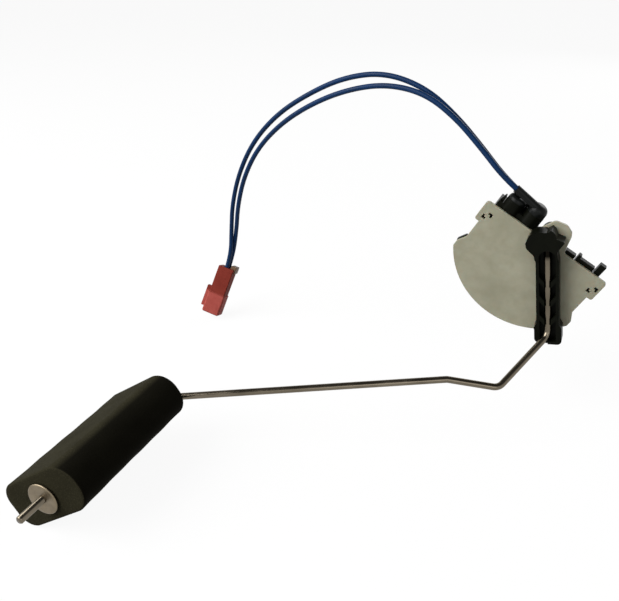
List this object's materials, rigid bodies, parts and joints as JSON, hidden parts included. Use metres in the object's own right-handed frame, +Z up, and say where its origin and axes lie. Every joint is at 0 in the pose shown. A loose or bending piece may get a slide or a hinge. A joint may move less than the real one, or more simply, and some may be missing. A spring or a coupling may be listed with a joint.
{
  "type": "fuel level sender",
  "caption": "Fuel level sender: a foam float on a bent wire arm turns a wiper in a flat sector-shaped housing, with leads arching to a small plug connector.",
  "frame": {"origin": "where the arm's pivot axis meets the flat back of the housing", "axes": "+Y points out of the flat back, so the arm and float are on the -Y side; +Z is up as installed, with the arm at its empty stop; +X is to the right seen from the front"},
  "size_m": [0.2121, 0.2013, 0.1442],
  "materials": {
    "cover_plastic": "milky natural plastic, faintly see-through, soft sheen",
    "black_plastic": "black moulded plastic, satin",
    "pin_steel": "ground steel",
    "card_ceramic": "white fired ceramic",
    "track_ink": "printed resistive ink, dark and matte",
    "brass": "plain brass",
    "seal_rubber": "black rubber, slight sheen",
    "lead_insulation": "dark blue insulation, soft gloss",
    "connector_plastic": "red moulded plastic, satin",
    "retainer_plastic": "tan moulded plastic",
    "holder_plastic": "black moulded plastic, satin",
    "wire_steel": "drawn steel wire",
    "carrier_plastic": "dark grey moulded plastic",
    "spring_bronze": "spring bronze",
    "washer_steel": "plated steel with a warm tint",
    "float_foam": "black closed-cell foam, matte, fine pores"
  },
  "bodies": {
    "housing": {"front_cover": "cover_plastic", "back_base": "black_plastic", "pivot_pin": "pin_steel", "resistor_card": "card_ceramic", "resistor_tracks": "track_ink", "card_rivets": "brass", "terminal_left": "brass", "terminal_right": "brass", "seal_left": "seal_rubber", "seal_right": "seal_rubber", "lead_left": "lead_insulation", "lead_right": "lead_insulation", "connector_housing": "connector_plastic", "connector_retainer": "retainer_plastic", "contact_left": "brass", "contact_right": "brass"},
    "float_arm": {"arm_holder": "holder_plastic", "arm_wire": "wire_steel", "wiper_carrier": "carrier_plastic", "wiper_spring": "spring_bronze", "wiper_contacts": "spring_bronze", "wiper_rivets": "brass", "end_washer": "washer_steel"},
    "float": {"float": "float_foam"}
  },
  "joints": [
    {"name": "float_arm_swing", "type": "hinge", "parent": "housing", "child": "float_arm", "pos_m": [0, -0.0165, 0], "axis": [0, 1, 0], "range_deg": [0, 76]},
    {"name": "float_spin", "type": "hinge", "parent": "float_arm", "child": "float", "pos_m": [-0.14794, -0.1335, -0.06549], "axis": [0, 1, 0], "continuous": true}
  ]
}
